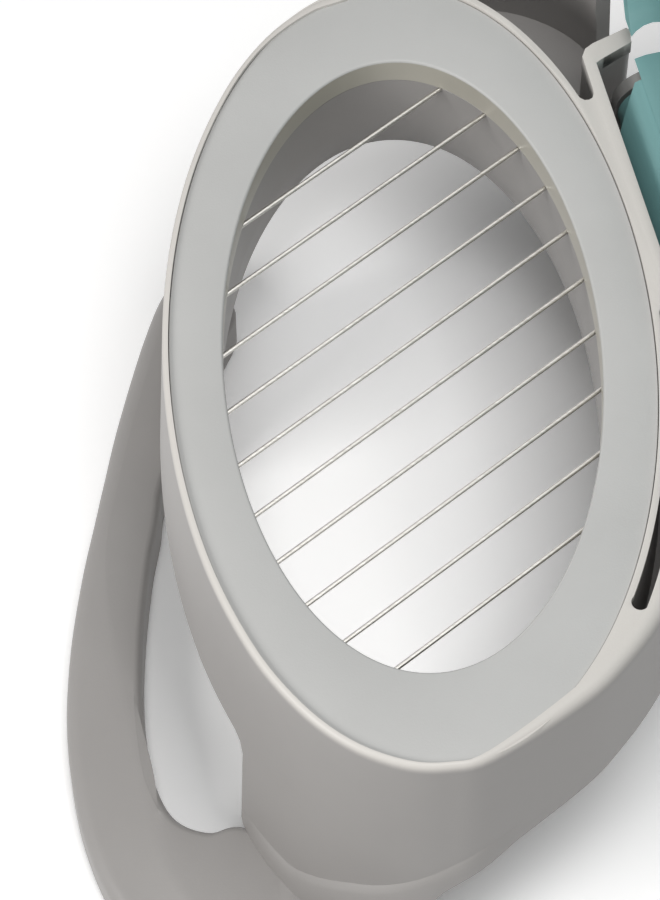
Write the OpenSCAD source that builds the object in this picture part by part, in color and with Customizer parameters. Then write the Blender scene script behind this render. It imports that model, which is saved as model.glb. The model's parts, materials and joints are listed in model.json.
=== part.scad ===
// Hand egg slicer: an oval ring strung with wires on a footed body, and a
// hinged press lever that carries a comb through the wires.
// Z is up, the table is z = 0, and Y runs along the ring's long axis.

/* [Ring] */
// Height of the flat ring face above the table
ring_top = 54; // [52:0.5:58]
// Half width of the egg hole
hole_a = 23.7; // [23:0.1:24]
// Half length of the egg hole
hole_b = 44.7; // [44:0.1:45]
// Half width of the clamp ring
seat_a = 30.4; // [30.2:0.1:30.8]
// Half length of the clamp ring
seat_b = 56.8; // [56.6:0.1:57.2]
// Thickness of the clamp ring
clamp_t = 4.2; // [4:0.1:4.6]
// Height of the lip above the clamp ring
lip_rise = 0.5; // [0.3:0.1:1]

/* [Wires] */
// Number of wires across the hole
wire_count = 10; // [10:10]
// Distance between neighbouring wires
wire_pitch = 6.84; // [6.7:0.02:6.9]
// Diameter of a wire
wire_d = 0.6; // [0.5:0.05:0.7]
// Direction of the wires, counted from X
wire_turn = 36.8; // [36:0.2:38]

/* [Body] */
// Wall of the ring housing
wall = 1.8; // [1.6:0.1:2]
// Depth of the outer skirt below the lip
skirt_h = 25; // [24:0.5:26]
// Depth of the hole's wall below the ring face
hole_h = 20; // [19:0.5:21]
// Outward draft of the skirt and legs, as a slope
draft = 0.045; // [0.04:0.005:0.05]
// Lowest level of the side beams
beam_low = 33; // [32:0.5:34]
// Thickness of the legs
leg_t = 2.4; // [2.2:0.1:2.6]

/* [Hinge] */
// Direction square to the hinge line, counted from X
hinge_turn = 11.2; // [11:0.1:11.4]
// Distance from the ring's centre to the hinge pin
pin_n = 42; // [42:0.1:42.4]
// Height of the hinge pin
pin_z = 47; // [46.8:0.1:47.2]
// Diameter of the hinge pin
pin_d = 3; // [2.8:0.1:3.2]
// Radius of the lever's hinge drum
drum_r = 7; // [6.8:0.1:7.1]
// Running clearance around the pin
pin_gap = 0.05; // [0.03:0.01:0.08]
// Angle by which the lever stands open
open_turn = 90; // [85:1:90]

/* [Lever] */
// Height of the closed lever's cover above the ring face
cover_gap = 1.8; // [1.6:0.1:2]
// Thickness of the lever's cover
cover_t = 2.6; // [2.4:0.1:3]
// Width of the slicing slots in the comb
comb_slot = 1.8; // [1.6:0.1:2]
// Depth by which the comb passes the wires
comb_pass = 2.4; // [2:0.1:2.6]

/* [Foot] */
// Height of the foot loop
foot_h = 8; // [7.5:0.5:8.5]
// Wall of the foot loop
foot_t = 2; // [1.8:0.1:2.2]
// Height by which the pads keep the feet off the table
pad_rise = 0.5; // [0.4:0.1:0.6]

/* [Hidden] */
WIRE_NAMES = [for (i = [1:wire_count]) str("wire_", i < 10 ? "0" : "", i)];
$fn = 64;

// Middle of the whole object's box, which the origin is moved to.
box_mid = [9.7, -0.4];
grey = [0.60, 0.59, 0.58];
cool_grey = [0.72, 0.73, 0.72];
steel = [0.78, 0.79, 0.80];
teal = [0.38, 0.62, 0.60];
rubber = [0.30, 0.31, 0.32];
eps = 0.05;

// Points round an oval with half sizes a and b, from angle from to angle to.
function arc_points(a, b, from, to, count) =
  [for (i = [0:count]) let (q = from + (to - from) * i / count) [a * cos(q), b * sin(q)]];

// Smooth line through a few points, with count steps between neighbours.
function curve_at(p0, p1, p2, p3, t) =
  0.5 * (2 * p1 + (p2 - p0) * t + (2 * p0 - 5 * p1 + 4 * p2 - p3) * t * t
    + (3 * p1 - p0 - 3 * p2 + p3) * t * t * t);
function smooth(p, count) =
  [for (i = [0:len(p) - 2], k = [0:count - 1])
    curve_at(p[max(i - 1, 0)], p[i], p[i + 1], p[min(i + 2, len(p) - 1)], k / count),
   p[len(p) - 1]];

// The same line moved sideways to its left by d.
function side_step(p, d) =
  [for (i = [0:len(p) - 1])
    let (v = p[min(i + 1, len(p) - 1)] - p[max(i - 1, 0)])
    p[i] + d * [-v[1], v[0]] / norm(v)];
function reversed(p) = [for (i = [len(p) - 1:-1:0]) p[i]];

// A point given by its distance n square to the hinge line and its place t along it.
function hinge_point(n, t) =
  [n * cos(hinge_turn) - t * sin(hinge_turn), n * sin(hinge_turn) + t * cos(hinge_turn)];

// The body is the same on both sides of the middle line, which leans by lean
// along the hinge line for each step away from the ring's centre.
lean = 0.506;
function side_point(n, s) = hinge_point(n, s + lean * n);
function side_line(p, side) = [for (q = p) side_point(q[0], side * q[1])];

module centred() {
  translate([-box_mid[0], -box_mid[1], 0]) children();
}

module oval(a, b) {
  polygon(arc_points(a, b, 0, 356.25, 95));
}

module slab(z0, z1) {
  translate([0, 0, z0]) linear_extrude(z1 - z0) children();
}

// ---- Ring housing levels ----
lip_top = ring_top + lip_rise;
shelf_top = ring_top - clamp_t;
shelf_t = 2.6;
screw_gap = 0.1;
thread_gap = 0.02;
wire_gap = 0.12;
hole_low = ring_top - hole_h;
skirt_low = lip_top - skirt_h;
groove = 0.12;
lip_t = 0.75;
lip_a = seat_a + groove + lip_t;
lip_b = seat_b + groove + lip_t;
land_z = lip_top;
land_t = 2.4;
wire_drop = 0.4;
wire_z = shelf_top - wire_drop;
hole_wall = 1.5;
// The hole's wall flares by these below the shelf, and starts wider by hole_step.
hole_flare = [0.8, 0.9];
hole_step = 0.1;
// Walls and floors reach this far into the skirt.
skirt_overlap = 0.4;

function skirt_a(z) = lip_a + draft * (lip_top - z);
function skirt_b(z) = lip_b + draft * (lip_top - z);

module flared(z0, z1, inset) {
  a0 = skirt_a(z0) - inset;
  b0 = skirt_b(z0) - inset;
  translate([0, 0, z0])
    linear_extrude(z1 - z0, slices = 1, scale = [(skirt_a(z1) - inset) / a0, (skirt_b(z1) - inset) / b0])
      oval(a0, b0);
}

module skirt() {
  difference() {
    flared(skirt_low, lip_top, 0);
    flared(skirt_low - 1, shelf_top - shelf_t, wall);
    slab(skirt_low - 1, lip_top + 1) oval(hole_a + 1, hole_b + 1);
    slab(shelf_top, lip_top + 1) oval(seat_a + groove, seat_b + groove);
  }
}

module hole_lining() {
  a0 = hole_a + hole_flare[0];
  b0 = hole_b + hole_flare[1];
  difference() {
    slab(hole_low, shelf_top) oval(a0 + hole_wall, b0 + hole_wall);
    translate([0, 0, hole_low - eps])
      linear_extrude(hole_h, slices = 1, scale = [(hole_a + hole_step) / a0, (hole_b + hole_step) / b0])
        oval(a0, b0);
  }
}

// ---- Sides, land and hinge pocket ----
// Half outline of the body towards the hinge, as (n, s) from the ring outwards.
side_shape = [[-10, 50], [-4, 53.4], [2, 55.3], [8, 56], [14, 55.4], [20, 53.3], [26, 49.2],
  [31, 44.6], [35.5, 38.8], [38.6, 33], [39.8, 28.5]];
side_end = 28.5;
pocket_n = 34.4;
pocket_t0 = 3.4;
cover_t1 = 37.9;
cheek_t = 1.8;
cheek_n = 39.8;
back_t = 1.5;

function outline(side) = smooth(side_line(side_shape, side), 4);

module side_area() {
  polygon(concat(
    outline(1),
    [hinge_point(cheek_n, far_wall_out[3][1]), hinge_point(cheek_n, pocket_t0 - cheek_t)],
    reversed(outline(-1))));
}

// The lever's cheeks drop into two slots that follow the ring. The far one
// opens out behind the pocket's far wall, up to the beam.
beam_t = 2;
slot_step = 0.15;
slot_w = 2;
// Angles round the ring at which the near slot begins and ends
near_slot = [-38.4, 4];
far_open_n = 18.5;
wall_n = pocket_n - back_t;
function from_n(shape, n) = concat([[n, lookup(n, shape)]], [for (q = shape) if (q[0] > n) q]);
far_open_line = side_step(smooth(side_line(from_n(side_shape, far_open_n), 1), 4), -beam_t);
// The pocket's far wall leans away from the hinge's square, as (n, t).
far_wall_out = [[wall_n, 38.2], [33.6, 39.3], [34.8, 39.9], [40.3, 41.4]];
far_wall_in = [[39.8, 38.9], [pocket_n, 36.9], [wall_n, 35.5]];
function hinge_line(p) = [for (q = p) hinge_point(q[0], q[1])];

// Round end of the far slot, as (n, t).
far_slot_end = [[32.85, 33], [32.75, 32.2], [32.4, 31.6], [31.9, 31.4], [31.3, 31.5], [30.9, 31.9],
  [30.5, 32.5]];

// The near slot, a curved strip with round ends.
module near_slot_area() {
  a = lip_a + slot_w / 2;
  b = lip_b + slot_w / 2;
  intersection() {
    difference() {
      oval(a + slot_w / 2, b + slot_w / 2 * b / a);
      oval(lip_a + slot_step, lip_b + slot_step);
    }
    union() {
      polygon(concat([[0, 0]], arc_points(2 * a, 2 * b, near_slot[0], near_slot[1], 8)));
      for (q = near_slot) translate([a * cos(q), b * sin(q)]) circle(r = slot_w / 2);
    }
  }
}

// The far slot's area runs out past the body's hinge side, and inwards under the ring.
slot_out_n = cheek_n + 3;
slot_out_t = 42;
under_ring = [8, 10];
module far_slot_area() {
  wall_side = concat([[slot_out_n, slot_out_t]], reversed(far_wall_out), far_slot_end);
  difference() {
    polygon(concat(far_open_line, [side_point(slot_out_n, side_end)], hinge_line(wall_side), [under_ring]));
    oval(lip_a + slot_step, lip_b + slot_step);
  }
}

// The pocket is open towards the hinge side, out to room_n and room_t.
room_n = 70;
room_t = 50;
module pocket_area() {
  polygon(hinge_line([[pocket_n, pocket_t0], [room_n, pocket_t0], [room_n, room_t], far_wall_in[0],
    far_wall_in[1]]));
}

// Ring of wall that hangs from the edge of the side area.
module beam(side) {
  line = outline(side);
  inner = side_step(line, side > 0 ? -beam_t : beam_t);
  slab(beam_low, land_z) difference() {
    polygon(concat(line, reversed(inner)));
    oval(lip_a - skirt_overlap, lip_b - skirt_overlap);
  }
}

module land() {
  slab(land_z - land_t, land_z) difference() {
    side_area();
    near_slot_area();
    far_slot_area();
    pocket_area();
    oval(seat_a + groove, seat_b + groove);
  }
}

// Floors that close the beams' undersides against the ring's skirt.
web_low = 34.5;
web_top = 36.5;
web_in = [0.5, 1];
module webs() {
  slab(web_low, web_top) difference() {
    side_area();
    oval(lip_a - skirt_overlap, lip_b - skirt_overlap);
    rotate(hinge_turn) translate([wall_n + web_in[0], pocket_t0 - web_in[1]])
      square([room_n, far_wall_t - pocket_t0 + web_in[1]]);
  }
}

// Walls and lugs round the lever's drum, down to the rear foot.
lug_r = 5.4;
lug_t = 33.9;
lug_web_top = 38;
far_wall_t = 37.4;
rear_low = foot_h;
rear_floor_t = 5;
lug_n = pin_n + lug_r;
module pocket_walls() {
  rotate([0, 0, hinge_turn]) {
    for (t = [pocket_t0 - cheek_t, lug_t]) {
      translate([wall_n, t, rear_low]) cube([lug_n - wall_n, cheek_t, lug_web_top - rear_low]);
      translate([pin_n - lug_r, t, rear_low]) cube([2 * lug_r, cheek_t, pin_z - rear_low]);
      translate([pin_n, t, pin_z]) rotate([-90, 0, 0]) cylinder(r = lug_r, h = cheek_t);
    }
    translate([wall_n, pocket_t0 - cheek_t, rear_low])
      cube([cheek_n - wall_n, cheek_t, land_z - rear_low]);
    translate([wall_n, pocket_t0 - cheek_t, rear_low])
      cube([back_t, far_wall_t - pocket_t0 + cheek_t, land_z - rear_low]);
    translate([wall_n, pocket_t0 - cheek_t, rear_low])
      cube([lug_n - wall_n, far_wall_t - pocket_t0 + cheek_t, rear_floor_t]);
  }
  slab(rear_low, land_z) polygon(hinge_line(concat(far_wall_out, far_wall_in)));
  corner_wall(1, far_corner_t);
  corner_wall(-1, pocket_t0 - cheek_t);
}

// Short low wall that joins the beam's end to the pocket.
corner_top = 41;
far_corner_t = 40.6;
module corner_wall(side, t_end) {
  a = side_point(cheek_n, side * side_end);
  slab(beam_low, corner_top)
    polygon([a, hinge_point(cheek_n, t_end), hinge_point(cheek_n - beam_t, t_end),
      a - beam_t * [cos(hinge_turn), sin(hinge_turn)]]);
}

// ---- Legs ----
// Outlines of the legs from the side: the near leg as (x, z), the far leg as (y, z).
// Each widens at the top into the skirt, like one side of an arch.
leg_top = 31;
near_leg = [[-23.7, leg_top], [-23.7, foot_h], [-5, foot_h], [-2.4, 16], [0.4, 22.4], [4, 26],
  [9, 28.6], [16, leg_top]];
far_leg = [[-6, leg_top], [-1, 28.6], [2, 25.6], [3.6, 20], [4.2, foot_h],
  [35, foot_h], [36, 20], [38, 26], [42, leg_top]];
leg_reach = 80;

module leg_shell() {
  difference() {
    intersection() {
      flared(foot_h, leg_top, 0);
      children();
    }
    flared(foot_h - 1, leg_top + 1, leg_t);
  }
}

module legs() {
  leg_shell() rotate([90, 0, 0]) linear_extrude(leg_reach) polygon(near_leg);
  leg_shell() rotate([90, 0, -90]) linear_extrude(leg_reach) mirror([1, 0]) polygon(far_leg);
  for (p = front_screw_places) translate([p[0], p[1], foot_h]) cylinder(r = leg_boss_r, h = leg_boss_h);
}

// ---- Screws ----
screw_r = 1;
head_r = 1.6;
head_h = 1.2;
screw_l = 5;
cross_w = 0.6;
cross_l = 2.4;
cross_h = 0.6;
ring_screw_step = 4.1;
function on_oval(a, b, q) = [a * cos(q), b * sin(q)];
ring_screw_angles = [14, 90, 135, 194, 262, 318];
ring_screw_places = [for (q = ring_screw_angles)
  on_oval(hole_a + ring_screw_step, hole_b + ring_screw_step, q)];
leg_boss_r = 2.2;
leg_boss_h = 8;
front_screw_angles = [-126, -104, 144, 168];
front_screw_in = 2.8;
front_screw_places = [for (q = front_screw_angles)
  on_oval(skirt_a(foot_h) - front_screw_in, skirt_b(foot_h) - front_screw_in, q)];
rear_screw_n = 38;
rear_screw_t = [8, 30];
rear_screw_places = [for (t = rear_screw_t) hinge_point(rear_screw_n, t)];

module screw(place, z) {
  translate([place[0], place[1], z]) {
    cylinder(r = screw_r, h = screw_l);
    translate([0, 0, -head_h]) difference() {
      cylinder(r = head_r, h = head_h);
      for (turn = [0, 90]) rotate(turn)
        translate([-cross_w / 2, -cross_l / 2, -1]) cube([cross_w, cross_l, cross_h + 1]);
    }
  }
}

// ---- Wires ----
anchor = 3.2;
function wire_off(i) = ((wire_count - 1) / 2 - i) * wire_pitch;
// Where wire i meets the oval of its anchors: side is -1 or 1.
function wire_end(i, side) =
  let (a = hole_a + anchor, b = hole_b + anchor, c = cos(wire_turn), s = sin(wire_turn), d = wire_off(i),
    p = c * c / (a * a) + s * s / (b * b),
    q = 2 * (-s * d * c / (a * a) + c * d * s / (b * b)),
    r = s * s * d * d / (a * a) + c * c * d * d / (b * b) - 1)
  (-q + side * sqrt(q * q - 4 * p * r)) / (2 * p);
module on_wire(i) {
  rotate([0, 0, wire_turn]) translate([0, wire_off(i), wire_z]) rotate([0, 90, 0]) children();
}
ferrule_r = 0.8;
ferrule_l = 1.8;

module wire(i) {
  color(steel) centred() on_wire(i)
    translate([0, 0, wire_end(i, -1)]) cylinder(d = wire_d, h = wire_end(i, 1) - wire_end(i, -1), $fn = 24);
}

// Where the ferrule at one end of wire i begins along the wire.
function ferrule_at(i, side) = wire_end(i, side) - (side > 0 ? 0 : ferrule_l);

module wire_ferrules() {
  color(steel) centred() for (i = [0:wire_count - 1], side = [-1, 1])
    on_wire(i) translate([0, 0, ferrule_at(i, side)])
      cylinder(r = ferrule_r, h = ferrule_l, $fn = 24);
}

// Grooves in the shelf for the wires, and wells for their ferrules.
wire_room_h = 3;
ferrule_room_h = 4;
module wire_room() {
  gap = wire_gap;
  for (i = [0:wire_count - 1]) {
    rotate([0, 0, wire_turn]) translate([0, wire_off(i), wire_z]) {
      translate([wire_end(i, -1) - eps, -wire_d / 2 - gap, -wire_d / 2 - gap])
        cube([wire_end(i, 1) - wire_end(i, -1) + 2 * eps, wire_d + 2 * gap, wire_room_h]);
      for (side = [-1, 1])
        translate([ferrule_at(i, side) - gap, -ferrule_r - gap, -ferrule_r - gap])
          cube([ferrule_l + 2 * gap, 2 * (ferrule_r + gap), ferrule_room_h]);
    }
  }
}

// ---- Pieces ----
module body() {
  color(grey) centred() difference() {
    union() {
      skirt();
      hole_lining();
      land();
      webs();
      for (side = [-1, 1]) beam(side);
      pocket_walls();
      legs();
    }
    wire_room();
    for (p = ring_screw_places)
      translate([p[0], p[1], shelf_top - shelf_t - 1]) cylinder(r = screw_r + screw_gap, h = shelf_t + 2);
    for (p = concat(front_screw_places, rear_screw_places))
      translate([p[0], p[1], foot_h - 1]) cylinder(r = screw_r + thread_gap, h = screw_l + 1);
    rotate([0, 0, hinge_turn]) translate([pin_n, pocket_t0 - cheek_t - 1, pin_z])
      rotate([-90, 0, 0]) cylinder(d = pin_d + 2 * pin_gap, h = lug_t - pocket_t0 + 2 * cheek_t + 2);
  }
}

rim_edge = 0.6;
rim_edge_h = 0.5;
module clamp_ring() {
  color(cool_grey) centred() difference() {
    slab(shelf_top, ring_top) difference() {
      oval(seat_a, seat_b);
      oval(hole_a, hole_b);
    }
    translate([0, 0, ring_top - rim_edge_h])
      linear_extrude(rim_edge, slices = 1, scale = [1 + rim_edge / hole_a, 1 + rim_edge / hole_b])
        oval(hole_a, hole_b);
    wire_room_cap();
    for (p = ring_screw_places)
      translate([p[0], p[1], shelf_top - 1])
        cylinder(r = screw_r + thread_gap, h = 1 + screw_l - shelf_t + head_gap);
  }
}

// The clamp ring's underside stays clear of the ferrules.
module wire_room_cap() {
  gap = wire_gap;
  for (i = [0:wire_count - 1], side = [-1, 1])
    rotate([0, 0, wire_turn])
      translate([ferrule_at(i, side) - gap, wire_off(i) - ferrule_r - gap, shelf_top - 1])
      cube([ferrule_l + 2 * gap, 2 * (ferrule_r + gap), 1 + ferrule_r]);
}

module ring_screws() {
  color(steel) centred() for (p = ring_screw_places) screw(p, shelf_top - shelf_t);
}

// ---- Foot loop ----
loop_outer = [[-24.6, 41], [-28, 43.6], [-31.3, 40.6], [-34.7, 32.4], [-38.5, 19.4], [-41.4, 7.1],
  [-43.9, -4], [-45.6, -14], [-46.4, -24], [-46, -33], [-44.4, -42], [-41, -51], [-34.5, -59.5],
  [-25, -66], [-14, -68.5], [-5, -66.5], [-2, -61]];
loop_hole = [[-29.4, 8.5], [-32.3, 7.6], [-34.1, -2.7], [-35.7, -10.8], [-36.3, -18.9], [-36.1, -27],
  [-35.1, -33.3], [-33.1, -38.7], [-30.6, -42.1], [-27.7, -43.4], [-24.8, -43.3], [-23, -41]];
loop_in = 4.6;

// Points under the ring that close the loop's outlines; the oval cut removes them.
loop_close = [[2, -50], [-6, -20], [-14, 30]];
loop_hole_close = [[-15, -20]];
loop_round = 1.8;

// Rounds the outer corners of an area.
module rounded(r) {
  offset(r = r) offset(delta = -r) children();
}

module loop_area() {
  rounded(loop_round) difference() {
    polygon(concat(smooth(loop_outer, 4), loop_close));
    polygon(concat(smooth(loop_hole, 4), loop_hole_close));
    oval(skirt_a(foot_h) - loop_in, skirt_b(foot_h) - loop_in);
  }
}

module foot_loop() {
  color(grey) centred() difference() {
    slab(pad_rise, foot_h) loop_area();
    slab(pad_rise - 1, foot_h - foot_t) difference() {
      offset(delta = -foot_t) loop_area();
      for (p = concat(front_screw_places, front_pad_places)) translate(p) circle(r = boss_r);
    }
    for (p = front_screw_places) screw_hole(p);
    for (p = front_pad_places) pad_seat(p);
  }
}

boss_r = 4.4;
head_gap = 0.3;
module screw_hole(p) {
  translate([p[0], p[1], foot_h - foot_t - 1]) cylinder(r = screw_r + screw_gap, h = foot_t + 2);
  translate([p[0], p[1], pad_rise - 1]) cylinder(r = head_r + head_gap, h = foot_h - foot_t - pad_rise + 1);
}

// ---- Rear foot ----
rear_outer = [[36, -24], [45, -15], [52, -3], [56, 9], [57.5, 22], [56.5, 35], [51, 48], [41, 57], [24, 60]];
rear_corner = 7;
rear_in = 0.3;
module rear_area() {
  rounded(rear_corner) intersection() {
    polygon(smooth(rear_outer, 4));
    rotate(hinge_turn) translate([wall_n - rear_in, -room_n]) square([room_n, 2 * room_n]);
  }
}

module rear_foot() {
  color(grey) centred() difference() {
    slab(pad_rise, foot_h) rear_area();
    slab(pad_rise - 1, foot_h - foot_t) difference() {
      offset(delta = -foot_t) rear_area();
      for (p = concat(rear_screw_places, rear_pad_places)) translate(p) circle(r = boss_r);
    }
    for (p = rear_screw_places) screw_hole(p);
    for (p = rear_pad_places) pad_seat(p);
  }
}

module foot_screws() {
  color(steel) centred() for (p = concat(front_screw_places, rear_screw_places)) screw(p, foot_h - foot_t);
}

// ---- Pads ----
pad_r = 3.4;
pad_t = 2;
front_pad_places = [[-30, 30], [-40.6, -22], [-34, -49], [-12, -62]];
rear_pad_places = [[44, 1], [52.5, 20], [44, 42]];

module pad_seat(p) {
  translate([p[0], p[1], -1]) cylinder(r = pad_r, h = pad_t + 1);
}

module pads(places) {
  color(rubber) centred() for (p = places) translate([p[0], p[1], 0]) cylinder(r = pad_r, h = pad_t);
}

// ---- Hinge ----
cap_r = 3.2;
cap_t = 1.4;
cap_edge = 0.7;
pin_out = 0.9;
pin_t0 = pocket_t0 - cheek_t - pin_out;
pin_t1 = lug_t + cheek_t + pin_out;

module along_pin(t) {
  rotate([0, 0, hinge_turn]) translate([pin_n, t, pin_z]) rotate([-90, 0, 0]) children();
}

module hinge_pin() {
  color(steel) centred() along_pin(pin_t0) cylinder(d = pin_d, h = pin_t1 - pin_t0);
}

// A domed cap pushed on to the pin's end; side is -1 or 1.
module pin_cap(side) {
  t = side > 0 ? lug_t + cheek_t : pocket_t0 - cheek_t;
  color(grey) centred() along_pin(t) mirror([0, 0, side > 0 ? 0 : 1]) difference() {
    rotate_extrude()
      polygon([[0, 0], [cap_r, 0], [cap_r, cap_t - cap_edge], [cap_r - cap_edge, cap_t], [0, cap_t]]);
    translate([0, 0, -1]) cylinder(d = pin_d, h = pin_out + 1);
  }
}

// ---- Lever ----
// The lever is drawn closed and then swung open about the pin.
cover_low = ring_top + cover_gap;
cover_top = cover_low + cover_t;
drum_gap = 0.5;

module opened() {
  rotate([0, 0, hinge_turn]) translate([pin_n, 0, pin_z]) rotate([0, open_turn, 0])
    translate([-pin_n, 0, -pin_z]) rotate([0, 0, -hinge_turn]) children();
}

cover_margin = 1.2;
window_a = 16;
window_b = 33;
rim_h = 2.2;
rim_w = 2.2;
// The cover's root runs from root_in, under the oval, to root_out beyond the pin.
root_in = 10;
root_out = 3;
block_in = 6;
// Thumb tab at the cover's free end, as (n, s), and where it starts under the oval.
tab_shape = [[-26, 17], [-36, 12.5], [-46, 10], [-52, 6], [-54, 0], [-52, -6], [-46, -10], [-36, -12.5],
  [-26, -17]];
tab_root = [-20, 24];
module cover_area() {
  near_t = pocket_t0 + drum_gap;
  out_n = pin_n + root_out;
  oval(lip_a + cover_margin, lip_b + cover_margin);
  polygon(hinge_line([[root_in, near_t], [out_n, near_t], [out_n, cover_t1], [root_in, cover_t1]]));
  polygon(concat([side_point(tab_root[0], tab_root[1])], smooth(side_line(tab_shape, 1), 5),
    [side_point(tab_root[0], -tab_root[1])]));
}

// A far cheek and a short near tab steer the lever into the body's slots.
cheek_low = 43.5;
cheek_gap = 0.7;
cheek_w = 1;
cheek_clear = 12.4;
cheek_taper = [[10, 40], [31, 40], [31, cheek_low], [18, cheek_low + 4.5], [10, cheek_low + 4.5]];
cheek_n0 = 18.5;
cheek_n1 = 30.6;
tab_low = 51.5;
tab_gap = 0.4;
tab_w = 0.7;
tab_from = -37;
tab_to = -29;

module oval_band(gap, w) {
  difference() {
    oval(lip_a + gap + w, lip_b + gap + w);
    oval(lip_a + gap, lip_b + gap);
  }
}

module far_cheek() {
  difference() {
    slab(cheek_low, cover_low + eps) intersection() {
      oval_band(cheek_gap, cheek_w);
      polygon(hinge_line([[cheek_n1, 10], [cheek_n1, 60], [cheek_n0, 60], [cheek_n0, 30]]));
    }
    across_hinge(0, 2 * pin_n) {
      translate([pin_n, pin_z]) circle(r = cheek_clear);
      polygon(cheek_taper);
    }
  }
}

module near_tab() {
  slab(tab_low, cover_low + eps) intersection() {
    oval_band(tab_gap, tab_w);
    polygon(concat([[0, 0]], arc_points(2 * lip_a, 2 * lip_b, tab_from, tab_to, 4)));
  }
}

module lever() {
  color(teal) centred() opened() difference() {
    union() {
      slab(cover_low, cover_top) cover_area();
      slab(cover_top - eps, cover_top + rim_h) difference() {
        oval(lip_a + cover_margin, lip_b + cover_margin);
        oval(lip_a + cover_margin - rim_w, lip_b + cover_margin - rim_w);
      }
      difference() {
        across_hinge(pocket_t0 + drum_gap, lug_t - drum_gap) translate([pin_n, pin_z]) circle(r = drum_r);
        drum_slant();
      }
      across_hinge(pocket_t0 + drum_gap, lug_t - drum_gap) union() {
        translate([pin_n, pin_z]) circle(r = drum_boss_r);
        translate([pin_n - block_in, pin_z]) square([block_in + root_out, cover_low - pin_z + eps]);
      }
      across_hinge(pocket_t0 + drum_gap, ear_end) polygon(ear_shape);
      far_cheek();
      near_tab();
    }
    along_pin(0) cylinder(d = pin_d + 2 * pin_gap, h = lug_t + 2);
    slab(cover_low - 1, cover_top + 1) oval(window_a, window_b);
    for (p = comb_screw_places)
      translate([p[0], p[1], cover_low - 1]) cylinder(r = screw_r + screw_gap, h = cover_t + 2);
  }
}

// A shape drawn as (n, z) and given length along the hinge line from t0 to t1.
module across_hinge(t0, t1) {
  rotate([0, 0, hinge_turn]) translate([0, t1, 0]) rotate([90, 0, 0]) linear_extrude(t1 - t0) children();
}

// Shoulder plate beside the drum that reaches over the far lug, drawn closed.
ear_end = 36.5;
ear_shape = [[35, 44.5], [34.6, 46], [34.6, cover_low + eps],
  [36.1, cover_low + eps], [36.1, 46.2], [36.3, 44.9]];

// The drum's far end is cut on a slant, as (t, z) in the closed lever; a thinner boss goes on to the lug.
drum_boss_r = 5.2;
drum_slant_shape = [[36, 45.4], [28.6, 40.6], [24.6, 38], [38, 38], [38, 45.4]];
module drum_slant() {
  rotate([0, 0, hinge_turn]) translate([pin_n - 2 * drum_r, 0, 0]) rotate([90, 0, 90])
    linear_extrude(4 * drum_r) polygon(drum_slant_shape);
}

// ---- Comb ----
comb_top_t = 2;
comb_gap = [2.2, 2.6];
comb_a = hole_a - comb_gap[0];
comb_b = hole_b - comb_gap[1];
comb_screw_oval = [18.4, 36.6];
comb_screw_places = [for (q = [45:90:315]) on_oval(comb_screw_oval[0], comb_screw_oval[1], q)];

// A plate under the cover with ribs that pass between the wires.
module comb() {
  color(cool_grey) centred() opened() difference() {
    union() {
      slab(cover_low - comb_top_t, cover_low) oval(comb_a, comb_b);
      slab(wire_z - comb_pass, cover_low - comb_top_t + eps) difference() {
        oval(comb_a, comb_b);
        rotate(wire_turn) for (i = [0:wire_count - 1])
          translate([-60, wire_off(i) - comb_slot / 2]) square([120, comb_slot]);
      }
    }
    for (p = comb_screw_places)
      translate([p[0], p[1], cover_low - screw_l + cover_t]) cylinder(r = screw_r + thread_gap, h = screw_l);
  }
}

module comb_screws() {
  color(steel) centred() opened() for (p = comb_screw_places)
    translate([p[0], p[1], cover_top]) mirror([0, 0, 1]) screw([0, 0], 0);
}

thumb_pad_n = -45;
thumb_pad_size = [9, 13];
thumb_pad_t = 1;
module thumb_pad() {
  color(rubber) centred() opened() slab(cover_top, cover_top + thumb_pad_t)
    translate(side_point(thumb_pad_n, 0)) rotate(hinge_turn) square(thumb_pad_size, center = true);
}

body();
clamp_ring();
ring_screws();
wire_ferrules();
for (i = [0:wire_count - 1]) wire(i);
foot_loop();
rear_foot();
foot_screws();
pads(front_pad_places);  // front_pads
pads(rear_pad_places);  // rear_pads
hinge_pin();
pin_cap(1);  // pin_cap_far
pin_cap(-1);  // pin_cap_near
lever();
comb();
comb_screws();
thumb_pad();
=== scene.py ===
import json
import math

import bpy
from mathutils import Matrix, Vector

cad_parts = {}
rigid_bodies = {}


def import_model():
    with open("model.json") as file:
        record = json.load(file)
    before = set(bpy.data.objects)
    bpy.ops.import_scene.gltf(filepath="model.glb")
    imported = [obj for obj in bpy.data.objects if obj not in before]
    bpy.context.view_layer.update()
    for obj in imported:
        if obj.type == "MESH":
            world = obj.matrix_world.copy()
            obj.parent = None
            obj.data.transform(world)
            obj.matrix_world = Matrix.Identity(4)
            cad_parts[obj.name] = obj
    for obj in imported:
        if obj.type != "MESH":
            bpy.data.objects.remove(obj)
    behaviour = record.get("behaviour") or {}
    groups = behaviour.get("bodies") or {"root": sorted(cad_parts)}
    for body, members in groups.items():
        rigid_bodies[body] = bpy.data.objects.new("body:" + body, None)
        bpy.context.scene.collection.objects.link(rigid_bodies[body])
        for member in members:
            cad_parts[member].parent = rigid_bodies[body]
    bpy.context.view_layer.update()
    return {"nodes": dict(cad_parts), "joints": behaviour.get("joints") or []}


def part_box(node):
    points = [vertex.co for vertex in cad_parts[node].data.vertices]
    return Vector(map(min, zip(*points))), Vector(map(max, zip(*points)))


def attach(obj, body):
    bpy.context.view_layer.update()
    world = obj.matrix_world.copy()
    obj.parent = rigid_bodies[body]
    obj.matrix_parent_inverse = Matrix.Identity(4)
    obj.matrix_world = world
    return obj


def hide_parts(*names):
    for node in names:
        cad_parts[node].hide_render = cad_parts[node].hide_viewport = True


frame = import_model()
print("frame loaded:", len(frame["nodes"]), "nodes")

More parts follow.
